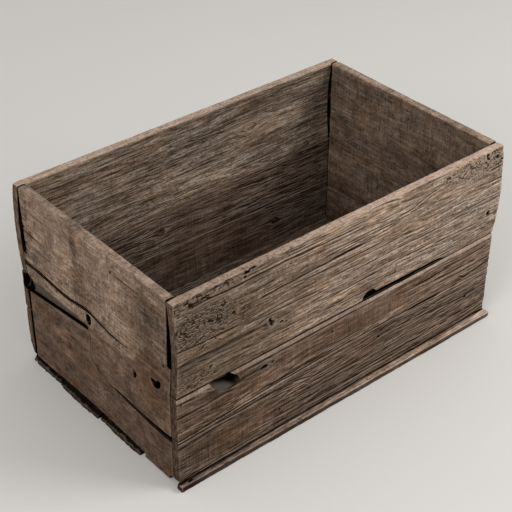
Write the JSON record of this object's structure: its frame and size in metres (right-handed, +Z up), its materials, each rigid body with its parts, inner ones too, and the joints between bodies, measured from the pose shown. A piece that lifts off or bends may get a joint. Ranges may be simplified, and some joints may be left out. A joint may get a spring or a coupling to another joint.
{
  "type": "fruit crate",
  "caption": "Open rectangular fruit crate of weathered, nailed sawn boards on a lengthwise plank bottom, with cupped sides, a split end and knot holes.",
  "frame": {"origin": "centre of the crate's plan, on the floor under the bottom planks", "axes": "+X along the long sides towards the plain end, so that the split end is at -X, +Z up, and the side with the knot hollow and the slit faces -Y"},
  "size_m": [0.6158, 0.3878, 0.306],
  "materials": {
    "side_wood": "weathered grey-brown, deep open grain, pale worn edges",
    "end_wood": "weathered grey above, browner and smoother below",
    "plank_wood": "rough sawn, dark and rotted at the ends",
    "rusty_nails": "dull dark rust"
  },
  "bodies": {
    "root": {"front_side_upper_board": "side_wood", "front_side_middle_board": "side_wood", "front_side_lower_board": "side_wood", "rear_side_upper_board": "side_wood", "rear_side_middle_board": "side_wood", "rear_side_lower_board": "side_wood", "left_end_upper_board": "end_wood", "left_end_middle_board": "end_wood", "left_end_lower_board": "end_wood", "right_end_upper_board": "end_wood", "right_end_middle_board": "end_wood", "right_end_lower_board": "end_wood", "bottom_plank_1": "plank_wood", "bottom_plank_2": "plank_wood", "bottom_plank_3": "plank_wood", "bottom_plank_4": "plank_wood", "front_left_nails": "rusty_nails", "front_right_nails": "rusty_nails", "rear_left_nails": "rusty_nails", "rear_right_nails": "rusty_nails", "bottom_left_nails": "rusty_nails", "bottom_right_nails": "rusty_nails", "bottom_front_nails": "rusty_nails", "bottom_rear_nails": "rusty_nails"}
  },
  "joints": []
}
